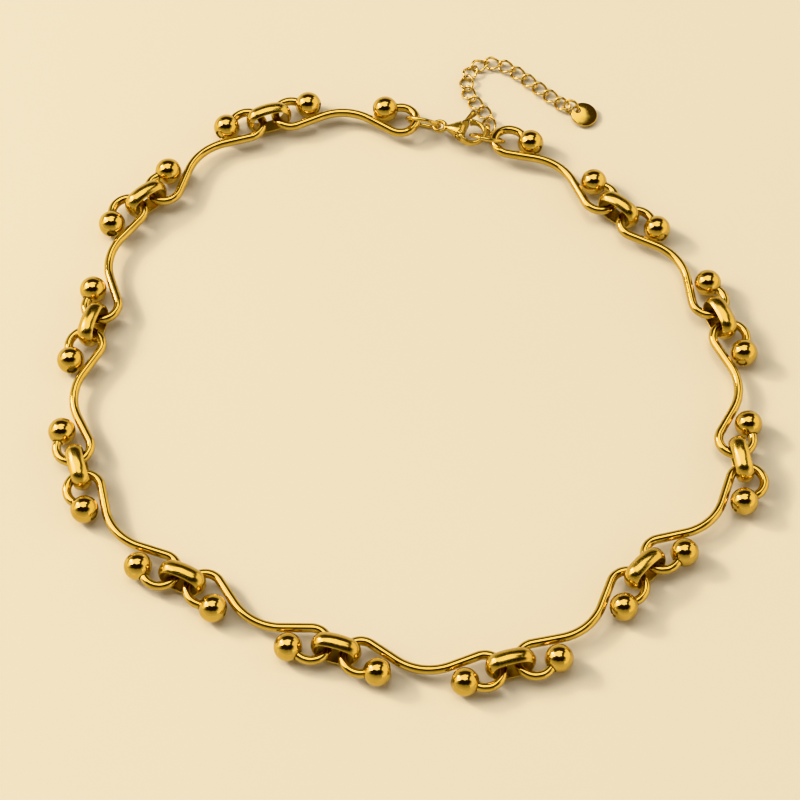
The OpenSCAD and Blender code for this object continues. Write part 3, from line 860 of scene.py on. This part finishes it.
link = curb_link()
ring_low = from_clasp([end_ring_x, END_RING_SIDE + RING_R * math.sin(math.radians(END_RING_LEAN))])
curbs = []
for x, y, z, roll, nod, heading in FIRST_CURBS:
    place = set_down([ring_low[0] + x, ring_low[1] + y, z], ("Z", heading), ("Y", nod), ("X", roll))
    curbs.append(moved(link, place))
hinge = ring_low + CURB_START
for heading in CURB_HEADINGS:
    middle = hinge + CURB_PITCH / 2 * along(heading)
    curbs.append(moved(link, set_down([*middle, CURB_Z], ("Z", heading))))
    hinge = hinge + CURB_PITCH * along(heading)
lay_piece("extension_links", [(curb, curb_gold) for curb in curbs], ["extension_chain"])

# ---------------------------------------------------------------- Tag and its ring
# A small stamped disc ends the chain, hung from a jump ring through its hole. Its face is left bare.
# Its hole side is held up by the ring, and its far edge rests on the table.

TAG_R = 2.7
TAG_THICK = 0.9
TAG_EDGE_ROUND = 0.16
TAG_DOME = 0.13
TAG_FACE_STEPS = 12
TAG_SIDES = 128
TAG_HOLE_R = 0.65
TAG_HOLE_BACK = 1.72
TAG_TURN = 10
TAG_TILT = 11
TAG_FROM_END = (3.42, 0.69)
TAG_RING_R = 1.5
TAG_RING_FROM_END = (0.45, 0.13)
TAG_RING_TURN = 15.5
TAG_RING_LEAN = 20
TAG_RING_SLIT_AT = 130

tag_gold = gold_finish("tag_gold", polish=0.03, haze=0.03, scuffs=0.06, ripple=0.15,
                       patches=350, patchiness=0.2, wear=0.7, bump=0.3)


def stamped_disc():
    """The tag in its own frame: rings of points that pass from its off-centre hole to its rim."""
    half, soft = TAG_THICK / 2, TAG_EDGE_ROUND
    face = [(-TAG_HOLE_BACK, TAG_HOLE_R, half - soft)]
    face += [(-TAG_HOLE_BACK, TAG_HOLE_R + soft - soft * math.cos(a), half - soft + soft * math.sin(a))
             for a in np.radians([22.5, 45, 67.5, 90])]
    rim = [(0, TAG_R - soft + soft * math.sin(a), half - soft + soft * math.cos(a))
           for a in np.radians([0, 22.5, 45, 67.5, 90])]
    inner, outer = np.array(face[-1]), np.array(rim[0])
    face += [tuple(inner + part * (outer - inner)) for part in np.linspace(0.06, 0.94, TAG_FACE_STEPS)]
    upper = face + rim
    rows = np.array(upper + [(x, r, -z) for x, r, z in upper[::-1]])
    angles = np.linspace(0, 2 * math.pi, TAG_SIDES, endpoint=False)
    sides = np.stack([np.cos(angles), np.sin(angles), np.zeros(len(angles))], 1)
    ups = np.tile([0.0, 0.0, 1.0], (len(angles), 1))
    points, faces = drawn_along(np.zeros((len(angles), 3)), sides, ups, rows[:, 1:], True)
    points[:, 0] += np.tile(rows[:, 0], len(angles))
    from_middle = np.hypot(points[:, 0], points[:, 1]) / TAG_R
    points[:, 2] *= 1 - TAG_DOME / half * from_middle ** 2
    return points, faces


last_heading = CURB_HEADINGS[-1]
tag_ring_at = hinge + turned(TAG_RING_FROM_END, last_heading)
tag_ring_z = CURB_WIRE_R + TAG_RING_R * math.cos(math.radians(TAG_RING_LEAN)) + FLOOR_GAP
tag_ring_place = set_down(
    [*tag_ring_at, tag_ring_z], ("Z", last_heading + TAG_RING_TURN), ("X", 90 - TAG_RING_LEAN))
tag_ring = closed_ring(TAG_RING_R, CURB_WIRE_R, TAG_RING_SLIT_AT)
lay_piece("tag_jump_ring", [(moved(tag_ring, tag_ring_place), ring_gold)], ["tag_ring"])

tag_at = hinge + turned(TAG_FROM_END, last_heading)
tag_tilt = math.radians(TAG_TILT)
tag_z = TAG_R * math.sin(tag_tilt) + TAG_THICK / 2 * math.cos(tag_tilt) + FLOOR_GAP
tag_place = set_down([*tag_at, tag_z], ("Z", last_heading + TAG_TURN), ("Y", TAG_TILT))
lay_piece("round_tag", [(moved(stamped_disc(), tag_place), tag_gold)], ["end_tag"])

# ---------------------------------------------------------------- Table top
# The necklace lies on a plain cream table top with a matt, faintly mottled surface.
# It reaches far past the picture's edges. Lengths are in metres.

TABLE_HALF = 3.0


def table_finish():
    finish = bpy.data.materials.new("cream_table")
    finish.use_nodes = True
    tree = finish.node_tree
    shader = tree.nodes["Principled BSDF"]
    where = add_node(tree, "TexCoord", {}, {}).outputs["Object"]
    cloud = add_node(tree, "TexNoise", {}, {"Vector": where, "Scale": 9, "Detail": 3, "Roughness": 0.5})
    tone = add_node(tree, "Mix", {"data_type": "RGBA"}, {
        0: cloud.outputs["Fac"], 6: (0.70, 0.645, 0.545, 1), 7: (0.75, 0.695, 0.595, 1)})
    grain = add_node(tree, "TexNoise", {}, {"Vector": where, "Scale": 1800, "Detail": 3, "Roughness": 0.6})
    relief = add_node(tree, "Bump", {}, {
        "Strength": 0.15, "Distance": 0.0001, "Height": grain.outputs["Fac"]})
    tree.links.new(tone.outputs[2], shader.inputs["Base Color"])
    tree.links.new(relief.outputs["Normal"], shader.inputs["Normal"])
    shader.inputs["Roughness"].default_value = 0.7
    return finish


table_mesh = bpy.data.meshes.new("table_top")
table_mesh.from_pydata(
    [(x * TABLE_HALF, y * TABLE_HALF, 0) for x, y in ((-1, -1), (1, -1), (1, 1), (-1, 1))],
    [], [(0, 1, 2, 3)])
table_mesh.materials.append(table_finish())
table_top = bpy.data.objects.new("table_top", table_mesh)
bpy.context.scene.collection.objects.link(table_top)

# ---------------------------------------------------------------- Studio light
# One warm key lamp stands low at the back left and throws the shadows to the right. A skylight and
# pale side walls give the polished gold its cream lines, and the dark wall in front gives it its brown.
# Lengths are in metres.

# place, size, power and tint
KEY_LAMP = ((-1.02, 0.50, 0.72), 0.28, 9.5, (1.0, 0.96, 0.87))
SIDE_PANEL = ((-0.95, 0.10, 0.80), (0.5, 0.7), 6, (1.0, 0.93, 0.8))
# parts of the room: middle and half reach across, from -1 at the left to 1 at the right, middle and half
# reach of the pitch, in degrees up from the front horizon over the top, then the tone and the soft edge
ROOM_PARTS = {
    "back_shelf": (0.05, 0.58, 145, 17, (0.05, 0.03, 0.012, 1), 0.2),
    "left_wall": (-0.93, 0.12, 100, 45, (2.0, 1.82, 1.45, 1), 0.2),
    "right_wall": (0.82, 0.25, 90, 82, (1.7, 1.5, 1.2, 1), 0.12),
    "skylight_jamb": (0.43, 0.16, 108, 30, (0.09, 0.055, 0.022, 1), 0.25),
    "skylight": (-0.24, 0.52, 104, 21, (3.1, 2.95, 2.6, 1), 0.14),
    "dark_front": (-0.10, 0.80, 61, 21, (0.02, 0.014, 0.007, 1), 0.16)}
# how far the parts' edges stray, and how often
ROOM_STRAY = 0.09
ROOM_STRAY_SCALE = 3.2
ROOM_STRENGTH = 0.84


def add_lamp(name, at, size, power, tint):
    """An area lamp aimed at the middle of the necklace."""
    lamp = bpy.data.lights.new(name, "AREA")
    if isinstance(size, tuple):
        lamp.shape = "RECTANGLE"
        lamp.size, lamp.size_y = size
    else:
        lamp.shape = "DISK"
        lamp.size = size
    lamp.energy = power
    lamp.color = tint
    stand = bpy.data.objects.new(name, lamp)
    stand.location = at
    stand.rotation_euler = (-Vector(at)).to_track_quat("-Z", "Y").to_euler()
    bpy.context.scene.collection.objects.link(stand)


add_lamp("key_lamp", *KEY_LAMP)
add_lamp("side_panel", *SIDE_PANEL)

room = bpy.data.worlds.new("studio_room")
room.use_nodes = True
bpy.context.scene.world = room
room_tree = room.node_tree
sky_way = add_node(room_tree, "TexCoord", {}, {}).outputs["Generated"]
sky_axes = add_node(room_tree, "SeparateXYZ", {}, {0: sky_way}).outputs
to_front = add_node(room_tree, "Math", {"operation": "MULTIPLY"}, {
    0: sky_axes["Y"], 1: -1}).outputs["Value"]
pitch = add_node(room_tree, "Math", {"operation": "ARCTAN2"}, {
    0: sky_axes["Z"], 1: to_front}).outputs["Value"]
stray = add_node(room_tree, "TexNoise", {}, {
    "Vector": sky_way, "Scale": ROOM_STRAY_SCALE, "Detail": 2, "Roughness": 0.5}).outputs["Color"]
stray_ways = add_node(room_tree, "SeparateXYZ", {}, {0: stray}).outputs
rise = add_node(room_tree, "MapRange", {"interpolation_type": "SMOOTHSTEP"}, {
    "Value": sky_axes["Z"], "From Min": 0.05, "From Max": 0.6, "To Min": 0, "To Max": 1})
room_tone = add_node(room_tree, "Mix", {"data_type": "RGBA"}, {
    0: rise.outputs["Result"], 6: (1.05, 0.93, 0.75, 1), 7: (0.56, 0.47, 0.29, 1)}).outputs[2]


def strayed(value, way):
    """A place in the room moved a little this way or that, so that no edge is quite straight."""
    shift = add_node(room_tree, "MapRange", {}, {
        "Value": way, "From Min": 0.3, "From Max": 0.7, "To Min": -ROOM_STRAY, "To Max": ROOM_STRAY})
    return add_node(room_tree, "Math", {"operation": "ADD"}, {
        0: value, 1: shift.outputs["Result"]}).outputs["Value"]


def off_middle(value, middle, reach):
    """How far a value is from the middle of a part of the room, with 1 at the part's edge."""
    away = add_node(room_tree, "Math", {"operation": "SUBTRACT"}, {0: value, 1: middle})
    away = add_node(room_tree, "Math", {"operation": "ABSOLUTE"}, {0: away.outputs["Value"]})
    return add_node(room_tree, "Math", {"operation": "DIVIDE"}, {
        0: away.outputs["Value"], 1: reach}).outputs["Value"]


lateral = strayed(sky_axes["X"], stray_ways["X"])
pitch = strayed(pitch, stray_ways["Y"])
for across, half_across, up, half_up, tone, softness in ROOM_PARTS.values():
    edge = add_node(room_tree, "Math", {"operation": "MAXIMUM"}, {
        0: off_middle(lateral, across, half_across),
        1: off_middle(pitch, math.radians(up), math.radians(half_up))})
    within = add_node(room_tree, "MapRange", {"interpolation_type": "SMOOTHSTEP"}, {
        "Value": edge.outputs["Value"], "From Min": 1 + softness, "From Max": 1 - softness,
        "To Min": 0, "To Max": 1})
    room_tone = add_node(room_tree, "Mix", {"data_type": "RGBA"}, {
        0: within.outputs["Result"], 6: room_tone, 7: tone}).outputs[2]

backdrop = room_tree.nodes["Background"]
room_tree.links.new(room_tone, backdrop.inputs["Color"])
backdrop.inputs["Strength"].default_value = ROOM_STRENGTH

# ---------------------------------------------------------------- Camera
# The camera looks down at the loop from the front, at sixty degrees, with a short telephoto lens.
# Lengths are in metres, and the lens and its sensor in millimetres.

CAMERA_AIM = Vector((0, -0.002, 0))
CAMERA_ELEVATION = 60
CAMERA_DISTANCE = 0.455

camera = bpy.data.objects.new("camera", bpy.data.cameras.new("camera"))
camera.data.lens = 108
camera.data.sensor_width = 36
camera.data.clip_start = 0.01
camera.data.clip_end = 20
toward_front, upward = along(CAMERA_ELEVATION)
camera.location = CAMERA_AIM + CAMERA_DISTANCE * Vector((0, -toward_front, upward))
camera.rotation_euler = (math.radians(90 - CAMERA_ELEVATION), 0, 0)
bpy.context.scene.collection.objects.link(camera)
bpy.context.scene.camera = camera
bpy.context.scene.view_settings.view_transform = "Khronos PBR Neutral"
